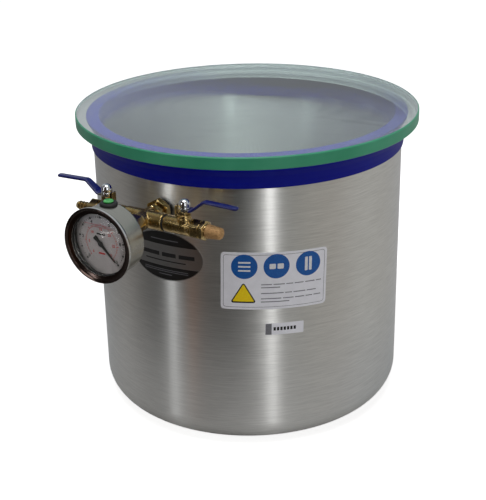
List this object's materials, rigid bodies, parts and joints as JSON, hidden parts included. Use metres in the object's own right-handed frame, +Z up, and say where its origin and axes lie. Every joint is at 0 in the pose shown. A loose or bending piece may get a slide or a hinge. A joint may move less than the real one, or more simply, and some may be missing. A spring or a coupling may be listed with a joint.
{
  "type": "vacuum degassing chamber",
  "caption": "Round metal vacuum pot with blue silicone rim gasket, thick glass lid, and a brass manifold with ball valves, silencer, hose tail and dial gauge.",
  "frame": {"origin": "centre of the pot's flat bottom, on the surface it stands on", "axes": "+Z up through the lid; the wall port and gauge point along -Y; the valves lie along X, the silencer on +X"},
  "size_m": [0.34, 0.4236, 0.3],
  "materials": {
    "brushed_metal": "circumferentially brushed, satin",
    "blue_silicone": "soft satin silicone",
    "clear_glass": "polished, green at the edge",
    "gauge_glass": "polished",
    "brass": "satin, machined",
    "chrome": "bright plated",
    "blue_vinyl": "dipped vinyl over steel",
    "gauge_steel": "satin stainless",
    "black_rubber": "matte",
    "white_ptfe": "waxy",
    "sintered_bronze": "granular sintered",
    "dial_face": "printed, matte",
    "black_paint": "satin black",
    "green_plastic": "satin",
    "label_film": "printed film",
    "badge_film": "printed film"
  },
  "bodies": {
    "root": {"pot": "brushed_metal", "rim_gasket": "blue_silicone", "port_fitting": "brass", "port_outer_nut": "brass", "port_inner_nut": "brass", "port_outer_washer": "black_rubber", "port_inner_washer": "black_rubber", "cross_fitting": "brass", "silencer_body": "brass", "silencer_sinter": "sintered_bronze", "hose_barb": "brass", "gauge_case": "gauge_steel", "gauge_bezel": "chrome", "gauge_window": "gauge_glass", "window_seal": "black_rubber", "gauge_dial": "dial_face", "fill_plug": "black_rubber", "vent_cap": "green_plastic", "gauge_socket": "brass", "bourdon_tube": "brass", "movement_frame": "brass", "badge": "badge_film", "safety_label": "label_film", "serial_label": "label_film", "left_joint_seal": "black_rubber", "left_valve_body": "brass", "left_inner_seat": "white_ptfe", "left_outer_seat": "white_ptfe", "left_seat_retainer": "brass", "left_stem_packing": "white_ptfe", "left_gland_nut": "brass", "right_joint_seal": "black_rubber", "right_valve_body": "brass", "right_inner_seat": "white_ptfe", "right_outer_seat": "white_ptfe", "right_seat_retainer": "brass", "right_stem_packing": "white_ptfe", "right_gland_nut": "brass"},
    "lid": {"glass_lid": "clear_glass"},
    "sector": {"sector_gear": "brass"},
    "link": {"connecting_link": "brass"},
    "pointer": {"pointer": "black_paint", "pointer_pinion": "brass"},
    "left_handle": {"left_lever": "blue_vinyl", "left_dome_nut": "chrome", "left_stem": "brass", "left_ball": "chrome"},
    "right_handle": {"right_lever": "blue_vinyl", "right_dome_nut": "chrome", "right_stem": "brass", "right_ball": "chrome"}
  },
  "joints": [
    {"name": "lid_lift", "type": "slide", "parent": "root", "child": "lid", "axis": [0, 0, 1], "range_m": [0, 0.15]},
    {"name": "left_valve_turn", "type": "hinge", "parent": "root", "child": "left_handle", "pos_m": [-0.0418, -0.1805, 0.24], "axis": [0, 0, 1], "range_deg": [0, 90]},
    {"name": "right_valve_turn", "type": "hinge", "parent": "root", "child": "right_handle", "pos_m": [0.0418, -0.1805, 0.24], "axis": [0, 0, -1], "range_deg": [0, 90]},
    {"name": "sector_swing", "type": "hinge", "parent": "root", "child": "sector", "pos_m": [0, -0.2338, 0.2256], "axis": [0, 1, 0], "range_deg": [0, 33.75], "stiffness_Nm_per_rad": 0.05},
    {"name": "link_pivot", "type": "hinge", "parent": "sector", "child": "link", "pos_m": [0.00606, -0.2353, 0.2221], "axis": [0, 1, 0], "range_deg": [-33.75, 0]},
    {"name": "pointer_turn", "type": "hinge", "parent": "root", "child": "pointer", "pos_m": [0, -0.24, 0.24], "axis": [0, -1, 0], "range_deg": [0, 270]}
  ],
  "couplings": [
    {"joint": "pointer_turn", "follows": "sector_swing", "ratio": 8},
    {"joint": "link_pivot", "follows": "sector_swing", "ratio": -1}
  ]
}
